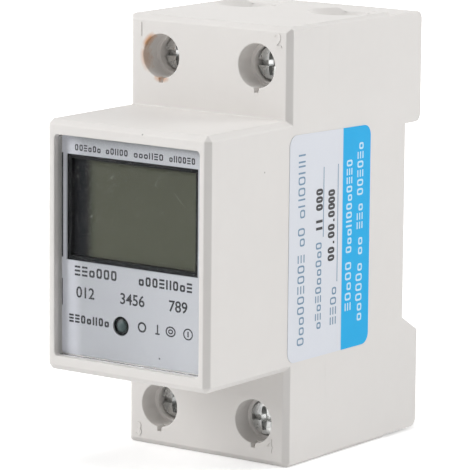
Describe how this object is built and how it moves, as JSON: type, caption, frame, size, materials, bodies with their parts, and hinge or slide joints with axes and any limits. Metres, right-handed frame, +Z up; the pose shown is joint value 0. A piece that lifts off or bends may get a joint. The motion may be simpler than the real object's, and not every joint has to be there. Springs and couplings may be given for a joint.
{
  "type": "din rail energy meter",
  "caption": "Narrow white rail-mounted electricity meter with a display head, recessed clamp screws and a sprung rail latch.",
  "frame": {"origin": "centre of the mounting rail on the rear wall's seat plane", "axes": "+X right seen from the front, -Y out of the front, +Z up, rail along X"},
  "size_m": [0.0361, 0.066, 0.0796],
  "materials": {
    "white_housing": "fine satin moulded polycarbonate",
    "clear_window": "clear polycarbonate pane",
    "grey_label": "silver grey printed plate",
    "display_glass": "unlit liquid crystal cell",
    "black_plastic": "black moulded plastic",
    "lamp_resin": "tinted lamp lens",
    "green_board": "green solder mask",
    "zinc_steel": "zinc plated steel",
    "yellow_film": "film capacitor box",
    "can_sleeve": "capacitor sleeve",
    "blue_varistor": "varistor coating",
    "resistor_coat": "flameproof resistor coating",
    "black_chip": "chip moulding",
    "crystal_can": "crystal can",
    "copper_bar": "tinned copper bar",
    "shunt_alloy": "manganin shunt",
    "lead_sleeve": "insulated lead",
    "latch_plastic": "latch plastic",
    "spring_steel": "spring wire",
    "paper_label": "coated paper label"
  },
  "bodies": {
    "case": {"front_cover": "white_housing", "base_shell": "white_housing", "display_window": "clear_window", "label_plate": "grey_label", "display_glass": "display_glass", "display_holder": "black_plastic", "pulse_lamp": "lamp_resin", "lamp_sleeve": "black_plastic", "display_board": "green_board", "power_board": "green_board", "board_header": "black_plastic", "board_screws": "zinc_steel", "film_capacitor": "yellow_film", "smoothing_capacitor": "can_sleeve", "surge_varistor": "blue_varistor", "fuse_resistor": "resistor_coat", "meter_chip": "black_chip", "controller_chip": "black_chip", "clock_crystal": "crystal_can", "line_bar_upper": "copper_bar", "line_bar_lower": "copper_bar", "current_shunt": "shunt_alloy", "neutral_bar": "copper_bar", "sense_leads": "lead_sleeve", "neutral_lead": "lead_sleeve", "latch_spring": "spring_steel", "seal_label": "paper_label"},
    "screw_1": {"terminal_screw_1": "zinc_steel"},
    "clamp_1": {"clamp_cage_1": "zinc_steel"},
    "screw_2": {"terminal_screw_2": "zinc_steel"},
    "clamp_2": {"clamp_cage_2": "zinc_steel"},
    "screw_3": {"terminal_screw_3": "zinc_steel"},
    "clamp_3": {"clamp_cage_3": "zinc_steel"},
    "screw_4": {"terminal_screw_4": "zinc_steel"},
    "clamp_4": {"clamp_cage_4": "zinc_steel"},
    "latch": {"rail_latch": "latch_plastic"}
  },
  "joints": [
    {"name": "screw_turn_1", "type": "hinge", "parent": "case", "child": "screw_1", "pos_m": [-0.0106, -0.028, 0.03225], "axis": [0, 1, 0], "range_deg": [0, 3375]},
    {"name": "clamp_lift_1", "type": "slide", "parent": "case", "child": "clamp_1", "axis": [0, -1, 0], "range_m": [0, 0.0075]},
    {"name": "screw_turn_2", "type": "hinge", "parent": "case", "child": "screw_2", "pos_m": [0.0106, -0.028, 0.03225], "axis": [0, 1, 0], "range_deg": [0, 3105]},
    {"name": "clamp_lift_2", "type": "slide", "parent": "case", "child": "clamp_2", "axis": [0, -1, 0], "range_m": [0, 0.0069]},
    {"name": "screw_turn_3", "type": "hinge", "parent": "case", "child": "screw_3", "pos_m": [-0.0106, -0.028, -0.03225], "axis": [0, 1, 0], "range_deg": [0, 3150]},
    {"name": "clamp_lift_3", "type": "slide", "parent": "case", "child": "clamp_3", "axis": [0, -1, 0], "range_m": [0, 0.007]},
    {"name": "screw_turn_4", "type": "hinge", "parent": "case", "child": "screw_4", "pos_m": [0.0106, -0.028, -0.03225], "axis": [0, 1, 0], "range_deg": [0, 2565]},
    {"name": "clamp_lift_4", "type": "slide", "parent": "case", "child": "clamp_4", "axis": [0, -1, 0], "range_m": [0, 0.0057]},
    {"name": "latch_slide", "type": "slide", "parent": "case", "child": "latch", "axis": [0, 0, -1], "range_m": [0, 0.0045], "stiffness_N_per_m": 400, "springref_m": -0.002, "deforming": ["latch_spring"]}
  ],
  "couplings": [
    {"joint": "screw_turn_1", "follows": "clamp_lift_1", "rad_per_m": 7854},
    {"joint": "screw_turn_2", "follows": "clamp_lift_2", "rad_per_m": 7854},
    {"joint": "screw_turn_3", "follows": "clamp_lift_3", "rad_per_m": 7854},
    {"joint": "screw_turn_4", "follows": "clamp_lift_4", "rad_per_m": 7854}
  ]
}
